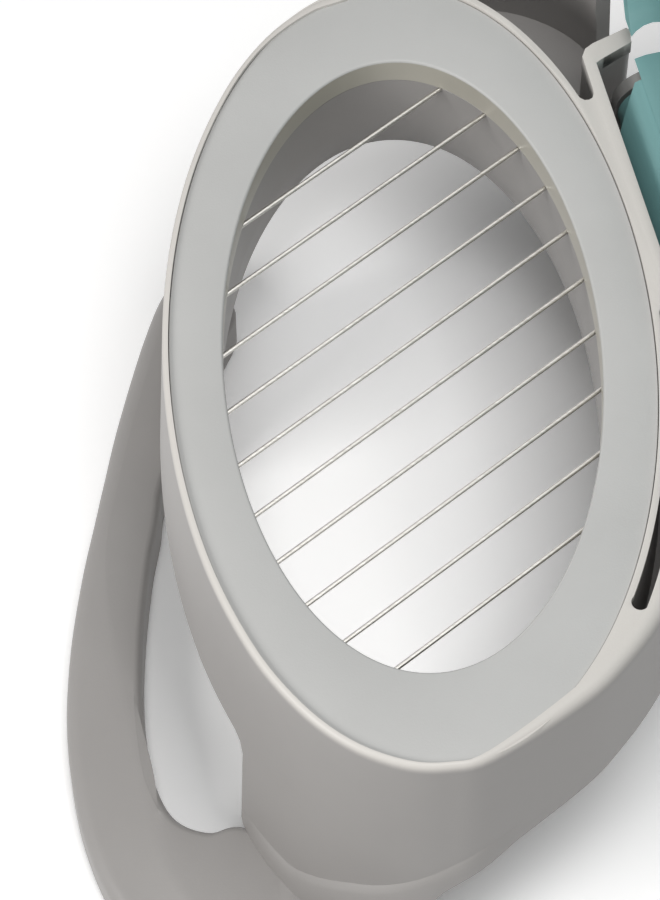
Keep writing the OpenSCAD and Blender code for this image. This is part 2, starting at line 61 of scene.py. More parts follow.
mm = 0.001
ringLow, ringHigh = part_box("clamp_ring")
ringX = (ringLow.x + ringHigh.x) / 2  # the ring's centre is where all shapes are counted from
ringY = (ringLow.y + ringHigh.y) / 2
ringTop = ringHigh.z / mm
hinge = frame["joints"][0]
hingeCos, hingeSin = -hinge["axis"][1], hinge["axis"][0]


# Places and lines, in millimetres from the ring's centre
def at(x, y, z):
    return Vector((ringX + x * mm, ringY + y * mm, z * mm))


def hingePoint(n, t):  # n square to the hinge line, t along it
    return n * hingeCos - t * hingeSin, n * hingeSin + t * hingeCos


pinN = ((hinge["pos_m"][0] - ringX) * hingeCos + (hinge["pos_m"][1] - ringY) * hingeSin) / mm
pinZ = hinge["pos_m"][2] / mm
sideLean = 0.506


def sidePoint(n, s):
    return hingePoint(n, s + sideLean * n)


def blend(a, b, c, d, t):  # the value a share t of the way from b to c, with a before them and d after
    bend = (2 * a - 5 * b + 4 * c - d) * t * t + (3 * b - a - 3 * c + d) * t ** 3
    return 0.5 * (2 * b + (c - a) * t + bend)


def blendLine(points, steps):  # smooth line through a few given points
    line = []
    for i in range(len(points) - 1):
        p0, p1 = points[max(i - 1, 0)], points[i]
        p2, p3 = points[i + 1], points[min(i + 2, len(points) - 1)]
        for k in range(steps):
            line.append(tuple(blend(*values, k / steps) for values in zip(p0, p1, p2, p3)))
    line.append(tuple(points[-1]))
    return line


def lookUp(table, x):  # straight steps between (x, value) pairs
    if x <= table[0][0]:
        return table[0][1]
    for (x0, y0), (x1, y1) in zip(table, table[1:]):
        if x <= x1:
            return y0 + (y1 - y0) * (x - x0) / (x1 - x0)
    return table[-1][1]


def easeStep(low, high, x):
    t = min(max((x - low) / (high - low), 0), 1)
    return t * t * (3 - 2 * t)


def ovalLine(a, b, count):
    return [(a * math.cos(q), b * math.sin(q)) for q in (2 * math.pi * i / count for i in range(count + 1))]


def turned(degrees):  # cosine and sine of an angle
    return math.cos(math.radians(degrees)), math.sin(math.radians(degrees))


def onOval(a, b, degrees):
    c, s = turned(degrees)
    return a * c, b * s


def outwardOf(line):  # unit vectors to the right of a line
    sides = []
    for i in range(len(line)):
        (x0, y0), (x1, y1) = line[max(i - 1, 0)][:2], line[min(i + 1, len(line) - 1)][:2]
        length = math.hypot(x1 - x0, y1 - y0) or 1
        sides.append(((y1 - y0) / length, (x0 - x1) / length))
    return sides


def insetLine(line, distance):  # a line with its inside on the left moves inward for a positive distance
    return [(x - sx * distance, y - sy * distance) for (x, y), (sx, sy) in zip(line, outwardOf(line))]


def roundCorners(points, radius, steps=5):  # a closed outline with its corners rounded
    outline = []
    for i, corner in enumerate(points):
        ends = []
        for other in (points[i - 1], points[(i + 1) % len(points)]):
            length = math.dist(corner, other)
            reach = min(radius / length, 0.45)
            ends.append([c + (o - c) * reach for c, o in zip(corner, other)])
        for k in range(steps + 1):
            t = k / steps
            outline.append(tuple(
                a * (1 - t) ** 2 + 2 * c * t * (1 - t) + b * t * t
                for a, c, b in zip(ends[0], corner, ends[1])
            ))
    return outline


def circle(u, v, radius, count=32):
    return [(u + x, v + y) for x, y in ovalLine(radius, radius, count)[:-1]]


def oval(a, b, count=160):
    return ovalLine(a, b, count)[:-1]


# Places across the hinge, as it stands open and as it lies closed
def acrossHinge(n, z, t):
    return at(*hingePoint(n, t), z)


def opened(x, y, z):
    n, t = x * hingeCos + y * hingeSin, y * hingeCos - x * hingeSin
    return acrossHinge(pinN + z - pinZ, pinZ + pinN - n, t)


def openedAcross(n, z, t):
    return acrossHinge(pinN + z - pinZ, pinZ + pinN - n, t)


def ovalRows(profile, columns):  # rows round the ring; the last joins the first
    return [[(x, y, z) for x, y in ovalLine(a, b, columns)] for a, b, z in profile + profile[:1]]


# Making and finishing pieces
def deselect():
    if bpy.context.object and bpy.context.object.mode != "OBJECT":
        bpy.ops.object.mode_set(mode="OBJECT")
    bpy.ops.object.select_all(action="DESELECT")


def useOnly(piece):
    deselect()
    piece.select_set(True)
    bpy.context.view_layer.objects.active = piece


def wrapGrid(name, rows, closed=False, place=at):
    # rows of points become a skin; closed fills the openings at its ends
    deselect()
    columns = len(rows[0])
    bpy.ops.mesh.primitive_grid_add(x_subdivisions=columns - 1, y_subdivisions=len(rows) - 1, size=0.01)
    piece = bpy.context.object
    piece.name = name
    points = [p for row in rows for p in row]
    for vertex, point in zip(piece.data.vertices, points):
        vertex.co = place(*point)
    bpy.ops.object.mode_set(mode="EDIT")
    bpy.ops.mesh.select_all(action="SELECT")
    bpy.ops.mesh.remove_doubles(threshold=1e-6)
    if closed:
        bpy.ops.mesh.fill_holes(sides=0)
    bpy.ops.object.mode_set(mode="OBJECT")
    faceOutward(piece)
    return piece


def faceOutward(piece):
    useOnly(piece)
    bpy.ops.object.mode_set(mode="EDIT")
    bpy.ops.mesh.select_all(action="SELECT")
    bpy.ops.mesh.normals_make_consistent(inside=False)
    bpy.ops.object.mode_set(mode="OBJECT")


def plate(name, outline, low, high, place=at):
    # an outline given thickness; place turns its numbers into a point
    deselect()
    bpy.ops.mesh.primitive_cylinder_add(vertices=len(outline), radius=0.01, depth=0.01)
    piece = bpy.context.object
    piece.name = name
    for i, (u, v) in enumerate(outline):
        piece.data.vertices[2 * i].co = place(u, v, low)
        piece.data.vertices[2 * i + 1].co = place(u, v, high)
    piece.location = (0, 0, 0)
    faceOutward(piece)
    return piece


def applyModifiers(piece):
    useOnly(piece)
    for modifier in list(piece.modifiers):
        bpy.ops.object.modifier_apply(modifier=modifier.name)


def roundEdges(piece, width, angle=40, segments=3):
    bevel = piece.modifiers.new("edges", "BEVEL")
    bevel.width = width * mm
    bevel.segments = segments
    bevel.limit_method = "ANGLE"
    bevel.angle_limit = math.radians(angle)
    bevel.harden_normals = False
    applyModifiers(piece)
    return piece


def combine(piece, other, how):
    boolean = piece.modifiers.new("cut", "BOOLEAN")
    boolean.operation = how
    boolean.object = other
    boolean.solver = "MANIFOLD"
    applyModifiers(piece)
    bpy.data.objects.remove(other)
    return piece


def cut(piece, other):
    return combine(piece, other, "DIFFERENCE")


def join(piece, other):
    return combine(piece, other, "UNION")


def paintFaces(piece, material, chosen):  # a second material on the faces whose middle is chosen
    piece.data.materials.append(material)
    for face in piece.data.polygons:
        if chosen(face.center):
            face.material_index = len(piece.data.materials) - 1


def finishPiece(piece, body, material, slotName, *nodes, smooth=35):
    useOnly(piece)
    bpy.ops.object.shade_smooth_by_angle(angle=math.radians(smooth))
    piece.data.materials.clear()
    piece.data.materials.append(material)
    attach(piece, body)
    if nodes:
        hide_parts(*nodes)
    return piece


# Materials
def newMaterial(name):
    material = bpy.data.materials.new(name)
    material.use_nodes = True
    nodes, links = material.node_tree.nodes, material.node_tree.links
    shader = nodes["Principled BSDF"]
    place = nodes.new("ShaderNodeTexCoord")
    return material, nodes, links, shader, place


def addNoise(nodes, links, place, scale, detail=3, roughness=0.5):
    noise = nodes.new("ShaderNodeTexNoise")
    noise.inputs["Scale"].default_value = scale
    noise.inputs["Detail"].default_value = detail
    noise.inputs["Roughness"].default_value = roughness
    links.new(place.outputs["Object"], noise.inputs["Vector"])
    return noise


def addRamp(nodes, links, source, stops):
    ramp = nodes.new("ShaderNodeValToRGB")
    while len(ramp.color_ramp.elements) < len(stops):
        ramp.color_ramp.elements.new(0.5)
    for element, (position, colour) in zip(ramp.color_ramp.elements, stops):
        element.position = position
        element.color = (*colour, 1)
    links.new(source, ramp.inputs["Fac"])
    return ramp


def paintedLitTop(nodes, links, place, colour, top):  # painted light: the plastic is painted paler near its top rim, standing in for the light that falls on its upward faces
    parts = nodes.new("ShaderNodeSeparateXYZ")
    links.new(place.outputs["Object"], parts.inputs["Vector"])
    rise = nodes.new("ShaderNodeMapRange")
    rise.interpolation_type = "SMOOTHSTEP"
    rise.inputs["From Min"].default_value = top["from"] * mm
    rise.inputs["From Max"].default_value = top["to"] * mm
    links.new(parts.outputs["Z"], rise.inputs["Value"])
    mix = nodes.new("ShaderNodeMixRGB")
    mix.inputs["Color2"].default_value = (*top["colour"], 1)
    links.new(rise.outputs["Result"], mix.inputs["Fac"])
    links.new(colour, mix.inputs["Color1"])
    return mix.outputs["Color"]


grainDeep = 0.0001


def moulded(look):
    # fine grain, faint flow marks, a little uneven gloss and, where the look asks for it, a painted lighter
    # top
    material, nodes, links, shader, place = newMaterial(look["name"])
    flow = addNoise(nodes, links, place, look["flowScale"], 4, 0.55)
    tone = addRamp(nodes, links, flow.outputs["Fac"], [(0.3, look["dark"]), (0.7, look["light"])])
    grain = addNoise(nodes, links, place, look["grainScale"], 2, 0.6)
    colour = tone.outputs["Color"]
    # painted light: a paler colour near the top stands in for light falling on the upward faces
    if "top" in look:
        colour = paintedLitTop(nodes, links, place, colour, look["top"])
    links.new(colour, shader.inputs["Base Color"])
    gloss = nodes.new("ShaderNodeMapRange")
    gloss.inputs["To Min"].default_value = look["gloss"][0]
    gloss.inputs["To Max"].default_value = look["gloss"][1]
    links.new(flow.outputs["Fac"], gloss.inputs["Value"])
    links.new(gloss.outputs["Result"], shader.inputs["Roughness"])
    bump = nodes.new("ShaderNodeBump")
    bump.inputs["Strength"].default_value = look["grain"]
    bump.inputs["Distance"].default_value = grainDeep
    links.new(grain.outputs["Fac"], bump.inputs["Height"])
    links.new(bump.outputs["Normal"], shader.inputs["Normal"])
    shader.inputs["Specular IOR Level"].default_value = look["specular"]
    return material


greyPlastic = moulded({
    "name": "greyPlastic", "flowScale": 28, "dark": (0.31, 0.297, 0.288), "light": (0.345, 0.332, 0.322),
    "grainScale": 2600, "grain": 0.12, "gloss": (0.36, 0.5), "specular": 0.45,
    # painted light: the deck and top rim are painted paler, as if lit from above
    "top": {"from": ringTop - 1.3, "to": ringTop + 0.45, "colour": (0.66, 0.635, 0.60)},
})
ringPlastic = moulded({
    "name": "ringPlastic", "flowScale": 35, "dark": (0.505, 0.505, 0.495), "light": (0.55, 0.55, 0.54),
    "grainScale": 3000, "grain": 0.15, "gloss": (0.45, 0.6), "specular": 0.35,
})
tealPlastic = moulded({
    "name": "tealPlastic", "flowScale": 30, "dark": (0.17, 0.355, 0.355), "light": (0.205, 0.405, 0.405),
    "grainScale": 2600, "grain": 0.1, "gloss": (0.3, 0.45), "specular": 0.5,
})
rimPlastic = moulded({
    "name": "rimPlastic", "flowScale": 40, "dark": (0.40, 0.385, 0.33), "light": (0.46, 0.44, 0.385),
    "grainScale": 2600, "grain": 0.08, "gloss": (0.25, 0.4), "specular": 0.5,
})
softRubber = moulded({
    "name": "softRubber", "flowScale": 60, "dark": (0.045, 0.047, 0.05), "light": (0.07, 0.072, 0.075),
    "grainScale": 1800, "grain": 0.3, "gloss": (0.7, 0.85), "specular": 0.3,
})


metalBump = {"strength": 0.15, "deep": 0.00005}


def metal(look):
    # fine drawn lines along one way
    material, nodes, links, shader, place = newMaterial(look["name"])
    stretch = nodes.new("ShaderNodeMapping")
    stretch.inputs["Scale"].default_value = look["stretch"]
    stretch.inputs["Rotation"].default_value = (0, 0, look["turn"])
    links.new(place.outputs["Object"], stretch.inputs["Vector"])
    lines = addNoise(nodes, links, place, look["lines"], 3, 0.6)
    links.new(stretch.outputs["Vector"], lines.inputs["Vector"])
    tone = addRamp(nodes, links, lines.outputs["Fac"], [(0.3, look["dark"]), (0.7, look["light"])])
    links.new(tone.outputs["Color"], shader.inputs["Base Color"])
    bump = nodes.new("ShaderNodeBump")
    bump.inputs["Strength"].default_value = metalBump["strength"]
    bump.inputs["Distance"].default_value = metalBump["deep"]
    links.new(lines.outputs["Fac"], bump.inputs["Height"])
    links.new(bump.outputs["Normal"], shader.inputs["Normal"])
    shader.inputs["Metallic"].default_value = 1
    shader.inputs["Roughness"].default_value = look["roughness"]
    return material


wireTurn = math.radians(36.8)
wireSteel = metal({
    "name": "wireSteel", "stretch": (0.05, 1, 1), "turn": wireTurn, "lines": 4000,
    "dark": (0.55, 0.53, 0.49), "light": (0.8, 0.78, 0.74), "roughness": 0.3,
})
screwSteel = metal({
    "name": "screwSteel", "stretch": (1, 1, 0.1), "turn": 0, "lines": 2500,
    "dark": (0.45, 0.45, 0.46), "light": (0.66, 0.66, 0.67), "roughness": 0.35,
})
print("materials made")


# Camera, lamps and floor
cameraSet = {
    "elevation": 60, "azimuth": 2.9, "distance": 520, "aim": (0, -1.25, 54), "right": 10.375, "down": 11,
    "lens": 166.4, "sensor": 36, "clip": 0.01,
}


def addCamera(look):
    level, fall = turned(look["elevation"])
    ahead, aside = turned(look["azimuth"])
    forward = Vector((aside * level, ahead * level, -fall))
    right = Vector((ahead, -aside, 0))
    up = right.cross(forward)
    bpy.ops.object.camera_add()
    camera = bpy.context.object
    camera.location = (
        at(*look["aim"]) - forward * look["distance"] * mm
        - right * look["right"] * mm - up * look["down"] * mm
    )
    camera.rotation_euler = forward.to_track_quat("-Z", "Y").to_euler()
    camera.data.lens = look["lens"]
    camera.data.sensor_width = look["sensor"]
    camera.data.clip_start = look["clip"]
    bpy.context.scene.camera = camera


lampSet = [
    {"name": "key", "place": (-0.7, -0.4, 0.5), "size": 0.4, "power": 4.2, "colour": (1, 0.99, 0.975)},
    {"name": "top", "place": (0.06, -0.24, 1), "size": 0.45, "power": 4.65, "colour": (1, 1, 1)},
]


lampAim = Vector((0, 0, 0.04))


def addLamps(lamps):
    for lamp in lamps:
        data = bpy.data.lights.new(lamp["name"], "AREA")
        data.energy = lamp["power"]
        data.size = lamp["size"]
        data.color = lamp["colour"]
        light = bpy.data.objects.new(lamp["name"], data)
        light.location = lamp["place"]
        light.rotation_euler = (lampAim - light.location).to_track_quat("-Z", "Y").to_euler()
        bpy.context.scene.collection.objects.link(light)


def seenDirectly(nodes, links):  # 1 for rays from the camera, a mirror or a lens, 0 for bounced light
    ray = nodes.new("ShaderNodeLightPath")
    total = ray.outputs["Is Camera Ray"]
    for output in ("Is Glossy Ray", "Is Transmission Ray"):
        either = nodes.new("ShaderNodeMath")
        either.operation = "MAXIMUM"
        links.new(total, either.inputs[0])
        links.new(ray.outputs[output], either.inputs[1])
        total = either.outputs["Value"]
    return total


def addWorld(strength):
    world = bpy.data.worlds.new("studio")
    world.use_nodes = True
    bpy.context.scene.world = world
    nodes, links = world.node_tree.nodes, world.node_tree.links
    soft = nodes["Background"]
    soft.inputs["Color"].default_value = (1, 1, 1, 1)
    soft.inputs["Strength"].default_value = strength
    plain = nodes.new("ShaderNodeBackground")
    plain.inputs["Color"].default_value = (1, 1, 1, 1)
    pick = nodes.new("ShaderNodeMixShader")
    links.new(seenDirectly(nodes, links), pick.inputs["Fac"])
    links.new(soft.outputs["Background"], pick.inputs[1])
    links.new(plain.outputs["Background"], pick.inputs[2])
    links.new(pick.outputs["Shader"], nodes["World Output"].inputs["Surface"])


def addFloor(look):
    deselect()
    bpy.ops.mesh.primitive_plane_add(size=look["size"])
    floor = bpy.context.object
    floor.name = "floor"
    material = bpy.data.materials.new("floorWhite")
    material.use_nodes = True
    nodes, links = material.node_tree.nodes, material.node_tree.links
    shader = nodes["Principled BSDF"]
    shader.inputs["Base Color"].default_value = (*look["bounced"], 1)
    shader.inputs["Roughness"].default_value = look["roughness"]
    white = nodes.new("ShaderNodeBsdfDiffuse")
    white.inputs["Color"].default_value = (*look["seen"], 1)
    pick = nodes.new("ShaderNodeMixShader")
    links.new(seenDirectly(nodes, links), pick.inputs["Fac"])
    links.new(shader.outputs["BSDF"], pick.inputs[1])
    links.new(white.outputs["BSDF"], pick.inputs[2])
    links.new(pick.outputs["Shader"], nodes["Material Output"].inputs["Surface"])
    floor.data.materials.append(material)


floorLook = {"size": 6, "seen": (1.19, 1.19, 1.19), "bounced": (0.6, 0.6, 0.6), "roughness": 0.7}
worldLight = 0.26
addCamera(cameraSet)
addLamps(lampSet)
addWorld(worldLight)
addFloor(floorLook)
bpy.context.scene.view_settings.view_transform = "Standard"
print("camera, lamps and floor set")


# Body: housing, outer wall, deck, hinge pocket, legs
housing = {
    "hole": (23.7, 44.7), "holeFlare": (0.8, 0.9), "seat": (30.4, 56.8), "groove": 0.12, "lip": 0.75,
    "lipTop": ringTop + 0.5, "shelf": ringTop - 4.2, "shelfThick": 2.6, "holeLow": ringTop - 20,
    "skirtLow": ringTop + 0.5 - 25, "wall": 1.8, "liner": 1.5, "draft": 0.045, "columns": 240,
    "holeStep": 0.1, "hidden": 0.15,
}
seatA, seatB = (v + housing["groove"] for v in housing["seat"])
lipA, lipB = seatA + housing["lip"], seatB + housing["lip"]
lipTop = housing["lipTop"]


def draftAt(z):
    return housing["draft"] * (lipTop - z)


def addHousing():
    holeA, holeB = housing["hole"]
    shelf, low = housing["shelf"], housing["holeLow"]
    under, hem = shelf - housing["shelfThick"], housing["skirtLow"]
    flareA, flareB = housing["holeFlare"]
    step = housing["holeStep"]
    liner, wall, hidden = housing["liner"], housing["wall"], housing["hidden"]

    def inner(z):
        wideA = lookUp([(low, holeA + flareA), (shelf, holeA + step)], z)
        return wideA, lookUp([(low, holeB + flareB), (shelf, holeB + step)], z)

    def outer(z, inset):
        return lipA + draftAt(z) - inset, lipB + draftAt(z) - inset

    edgeA, edgeB = inner(shelf)
    turnA, turnB = inner(low)
    profile = [(*outer(z, hidden), z) for z in (hem, hem + 6, under, shelf + 2, lipTop - 0.6)]
    profile += [
        (lipA - 0.3, lipB - 0.3, lipTop - 0.25), (seatA + 0.05, seatB + 0.05, lipTop - 0.25),
        (seatA + 0.05, seatB + 0.05, shelf), (edgeA + 0.3, edgeB + 0.3, shelf), (edgeA, edgeB, shelf - 0.3),
    ]
    profile += [(*inner(z), z) for z in (shelf - 5, shelf - 10, low + 0.5)]
    profile += [
        (turnA + 0.3, turnB + 0.3, low), (turnA + liner - 0.2, turnB + liner - 0.2, low),
        (turnA + liner, turnB + liner, low + 0.3), (turnA + liner, turnB + liner, under),
    ]
    profile += [(*outer(z, wall), z) for z in (under, under - 8, hem + 0.4)]
    profile += [(*outer(hem, wall - 0.3), hem), (*outer(hem, hidden + 0.2), hem)]
    return wrapGrid("ringHousing", ovalRows(profile, housing["columns"]))


outerWall = {
    "side": [(39.8, 28.5), (38.6, 33), (35.5, 38.8), (31, 44.6), (26, 49.2), (20, 53.3), (14, 55.4), (8, 56)],
    "left": [100, 110, 122, 135, 150, 165, 180, 195, 210, 225, 238, 250, 262, 272, 282],
    "nearHem": [
        (-23.3, 29.5), (-22.8, 29.1), (-22.45, 28), (-22.25, 26), (-22.1, 8), (-5, 8), (-2.4, 16),
        (0.4, 22.4), (4, 26), (9, 28.8), (14, 30.2), (22, 32.2), (30, 33.6), (50, 35),
    ],
    "farHem": [(0, 29.5), (4, 28.6), (7, 25.6), (8.6, 20), (9.2, 8), (35, 8), (36, 20), (38, 26), (42, 29.5)],
    "farBeamHem": [(0, 29.5), (10, 30.5), (22, 33), (40, 35)],
    "fold": [(-20, 9), (-16, 12.5), (-10, 19), (-6.5, 21.5), (-2.5, 25), (5, 31.5), (12, 34.5)],
    "foldDepth": [(-22, 0), (-19, 0.7), (-14, 1.1), (-6, 1.1), (0, 0.7), (6, 0.3), (10, 0)],
    "roll": [(-8, 0.68), (8, 1.7)],
    "flat": [(-8, 0.06), (8, 0.4)],
    "thick": [(-8, 1.8), (8, 2)],
    "spacing": 1.4, "jump": 0.8, "leastStep": 0.04,
    "nearSide": -25, "farSide": -10, "faceLead": 12,
    "footFlare": 0.9, "flareHigh": 2.4, "flareFrom": (-25, -20), "legHem": 8.5,
    "foldClear": 4.2, "foldElsewhere": 8, "foldSoft": 1.2, "inLow": 48, "inTop": 49.5,
}


def hemAt(x, y):
    if y < outerWall["nearSide"]:
        return lookUp(outerWall["nearHem"], x)
    if x < outerWall["farSide"]:
        return lookUp(outerWall["farHem"], y)
    if y > 0:
        return lookUp(outerWall["farBeamHem"], x)
    return outerWall["nearHem"][-1][1]


def outerPath():
    far = [sidePoint(n, s) for n, s in outerWall["side"]]
    near = [sidePoint(n, -s) for n, s in reversed(outerWall["side"])]
    left = [onOval(lipA, lipB, q) for q in outerWall["left"]]
    rough = blendLine(far + left + near, 30)
    line, travelled = [rough[0]], 0
    for before, after in zip(rough, rough[1:]):
        travelled += math.dist(before, after)
        jump = abs(hemAt(*after) - hemAt(*line[-1]))
        steep = jump > outerWall["jump"] and travelled > outerWall["leastStep"]
        if travelled >= outerWall["spacing"] or steep:
            line.append(after)
            travelled = 0
    if math.dist(line[-1], rough[-1]) > 0.01:
        line.append(rough[-1])
    return line


def foldAt(x, y, hem):  # the fold's height, and how far the leg stands out below it
    if y < outerWall["nearSide"]:
        height = max(lookUp(outerWall["fold"], x), hem + outerWall["foldClear"])
        return height, lookUp(outerWall["foldDepth"], x)
    return hem + outerWall["foldElsewhere"], 0


def addOuterWall():
    line = outerPath()
    sides = outwardOf(line)
    hems = [hemAt(x, y) for x, y in line]
    folds = [foldAt(x, y, hem) for (x, y), hem in zip(line, hems)]
    across = [x * hingeCos + y * hingeSin for x, y in line]
    rolls = [lookUp(outerWall["roll"], n) for n in across]
    flats = [lookUp(outerWall["flat"], n) for n in across]
    thicks = [lookUp(outerWall["thick"], n) for n in across]
    rows = []

    def addRow(outAt, levelAt):  # how far out and how high each point of the row lies
        row = []
        for i, ((x, y), (sx, sy)) in enumerate(zip(line, sides)):
            z = levelAt(i)
            out = outAt(i, z)
            row.append((x + sx * out, y + sy * out, z))
        rows.append(row)

    def face(i, z):  # the wall's draft, and its flare just above a foot
        rise = min((z - hems[i]) / outerWall["flareHigh"], 1)
        onLeg = hems[i] < outerWall["legHem"]
        spread = outerWall["footFlare"] * easeStep(*outerWall["flareFrom"], across[i]) if onLeg else 0
        return draftAt(z) + spread * (1 - math.sqrt(1 - (1 - rise) ** 2))

    def folded(i, z):  # below the fold the leg stands out a little
        height, depth = folds[i]
        return face(i, z) + depth * (1 - math.exp(min(z - height, 0) / outerWall["foldSoft"]))

    addRow(lambda i, z: -rolls[i] - flats[i], lambda i: lipTop)
    for q in (90, 72, 54, 36, 18, 0):
        c, s = turned(q)
        addRow(lambda i, z: draftAt(z) - rolls[i] * (1 - c), lambda i: lipTop - rolls[i] * (1 - s))
    for part in (0.15, 0.3, 0.45):
        low = outerWall["faceLead"] * part
        addRow(face, lambda i: (lipTop - rolls[i]) * (1 - part) + hems[i] * part + low)
    for step in (1.5, 0.7, 0.2, 0, -0.2, -0.5, -0.9, -1.5):
        addRow(folded, lambda i: folds[i][0] + step)
    for rise in (2.4, 1.7, 1.1, 0.6, 0.25, 0):
        addRow(folded, lambda i: hems[i] + rise)
    for part in (0, 0.5, 0.9):
        up = outerWall["inLow"] * part
        addRow(lambda i, z: draftAt(z) - thicks[i], lambda i: hems[i] * (1 - part) + up)
    addRow(lambda i, z: -rolls[i] - flats[i], lambda i: outerWall["inTop"])
    rows.append(rows[0])
    return wrapGrid("outerWall", rows, closed=True)


deck = {
    "thick": 2.4, "rim": 1.9, "edge": 0.35, "dip": 0.02, "webLow": 34.5, "webTop": 36.5,
    "slotWide": 2, "slotStep": 0.15, "nearSlot": (-38.4, 4),
    "farSlotEnd": [
        (32.85, 33), (32.75, 32.2), (32.4, 31.6), (31.9, 31.4), (31.3, 31.5), (30.9, 31.9), (30.5, 32.5),
    ],
    "openFrom": 18.5, "openEdge": 2, "openTo": 42, "openInner": (8, 10),
    "seatRoom": 0.02, "webIn": 1, "webOver": 0.3, "webShort": 0.4, "webWall": 0.5, "webNear": 1,
    "seatCut": (40, 60), "slotCut": (38, 60), "pocketCut": (30, 60),  # heights that each cut spans
    "lipCut": (20, 70), "webCut": (20, 60),
}
pocket = {
    "back": 34.4, "wall": 32.9, "near": 3.4, "cheek": 1.8, "cheekOut": 39.8, "farWall": 37.4,
    "farOut": [(32.9, 38.2), (33.6, 39.3), (34.8, 39.9), (40.3, 41.4)],
    "farIn": [(39.8, 38.9), (34.4, 36.9), (32.9, 35.5)],
    "lug": 5.4, "lugT": 33.9, "lugWeb": 38, "low": 8, "floor": 5, "nearLugUp": 4.9, "bore": 1.55,
    "cornerLow": 33, "cornerTop": 41, "cornerThick": 2, "cornerEnds": (2.1, 40.6), "inCheek": 0.4,
    "edge": 0.45, "farRound": 1.2,
}


def hingeLine(points):
    return [hingePoint(n, t) for n, t in points]


def slotOutline(start, end):  # a slot that follows the ring between two angles, with round ends
    half = deck["slotWide"] / 2
    midA, midB = lipA + half, lipB + half
    outer = (midA + half, midB + half * midB / midA)
    inner = (lipA + deck["slotStep"], lipB + deck["slotStep"])
    angles = [start + (end - start) * i / 40 for i in range(41)]
    outline = [onOval(*outer, q) for q in angles]
    back = [onOval(*inner, q) for q in reversed(angles)]

    def roundEnd(first, last):  # a half circle between two corners, to the right of the way between them
        mid = [(f + l) / 2 for f, l in zip(first, last)]
        u = [(f - l) / 2 for f, l in zip(first, last)]
        v = (-u[1], u[0])
        turns = [math.pi * k / 10 for k in range(1, 10)]
        return [tuple(m + x * math.cos(q) + y * math.sin(q) for m, x, y in zip(mid, u, v)) for q in turns]

    return outline + roundEnd(outline[-1], back[0]) + back + roundEnd(back[-1], outline[0])


def farOpening():
    shape = list(reversed(outerWall["side"]))
    start = deck["openFrom"]
    edge = [(start, lookUp(shape, start))] + [(n, s) for n, s in shape if n > start]
    line = insetLine(blendLine([sidePoint(n, s) for n, s in edge], 4), -deck["openEdge"])
    out = pocket["cheekOut"] + 3
    corner = sidePoint(out, outerWall["side"][0][1])
    wallSide = hingeLine([(out, deck["openTo"])] + pocket["farOut"][::-1] + deck["farSlotEnd"])
    piece = plate("farOpening", line + [corner] + wallSide + [deck["openInner"]], *deck["slotCut"])
    keep = oval(lipA + deck["slotStep"], lipB + deck["slotStep"], 240)
    return cut(piece, plate("lipKeep", keep, *deck["lipCut"]))


def addDeck():
    edge = insetLine(outerPath(), deck["rim"])[::3]
    top = lipTop - deck["dip"]
    near, out = pocket["near"], pocket["cheekOut"]
    hingeSide = hingeLine([(out, near - pocket["cheek"]), (out, pocket["farOut"][3][1])])
    piece = plate("deck", edge + hingeSide, top - deck["thick"], top)
    seat = oval(seatA + deck["seatRoom"], seatB + deck["seatRoom"], 240)
    cut(piece, plate("seatCut", seat, *deck["seatCut"]))
    cut(piece, plate("nearSlot", slotOutline(*deck["nearSlot"]), *deck["slotCut"]))
    cut(piece, farOpening())
    room = [(pocket["back"], near), (70, near), (70, 50), pocket["farIn"][0], pocket["farIn"][1]]
    cut(piece, plate("pocketCut", hingeLine(room), *deck["pocketCut"]))
    return roundEdges(piece, deck["edge"], 50)


def addWebs():
    edge = insetLine(outerPath(), deck["webIn"])[::3]
    over, near = deck["webOver"], pocket["near"] - deck["webNear"]
    out, wall = pocket["cheekOut"] - over, pocket["wall"] + deck["webWall"]
    start, end = pocket["near"] - pocket["cheek"], pocket["farOut"][3][1] - deck["webShort"]
    piece = plate("webs", edge + hingeLine([(out, start), (out, end)]), deck["webLow"], deck["webTop"])
    cut(piece, plate("ringKeep", oval(lipA - over, lipB - over, 240), *deck["webCut"]))
    room = [(wall, near), (60, near), (60, pocket["farWall"]), (wall, pocket["farWall"])]
    return cut(piece, plate("pocketKeep", hingeLine(room), *deck["webCut"]))


def addHingeFrame():
    back, wall, low, floor = pocket["back"], pocket["wall"], pocket["low"], pocket["floor"]
    out, lug, thick = pocket["cheekOut"], pocket["lug"], pocket["cheek"]
    top = lipTop - 2 * deck["dip"]
    start, end = pocket["near"] - thick, pocket["farWall"]
    lugSide = [(wall, low), (pinN + lug, low)] + circle(pinN, pinZ, lug, 36)[:19]
    farSide = lugSide + [(pinN - lug, pocket["lugWeb"]), (wall, pocket["lugWeb"])]
    nearSide = lugSide[:13] + [(out, pinZ + pocket["nearLugUp"]), (out, top), (wall, top)]
    piece = plate("hingeFrame", nearSide, start, start + thick, acrossHinge)
    join(piece, plate("farLug", farSide, pocket["lugT"], pocket["lugT"] + thick, acrossHinge))
    backSide = [(wall, low), (back, low), (back, top), (wall, top)]
    join(piece, plate("pocketBack", backSide, start + pocket["inCheek"], end, acrossHinge))
    floorSide = [(wall, low), (pinN + lug, low), (pinN + lug, low + floor), (wall, low + floor)]
    join(piece, plate("pocketFloor", floorSide, start + pocket["inCheek"], end, acrossHinge))
    farWall = roundCorners(hingeLine(pocket["farOut"] + pocket["farIn"]), pocket["farRound"])
    join(piece, plate("farWall", farWall, low, top))
    for side, t in zip((-1, 1), pocket["cornerEnds"]):
        corner = sidePoint(out, side * outerWall["side"][0][1])
        shift = hingePoint(pocket["cornerThick"], 0)
        inner = [hingePoint(out - pocket["cornerThick"], t), (corner[0] - shift[0], corner[1] - shift[1])]
        outline = [corner, hingePoint(out, t)] + inner
        join(piece, plate("cornerWall", outline, pocket["cornerLow"], pocket["cornerTop"]))
    cut(piece, plate("pinBore", circle(pinN, pinZ, pocket["bore"]), start - 1, end + 1, acrossHinge))
    return roundEdges(piece, pocket["edge"], 50)


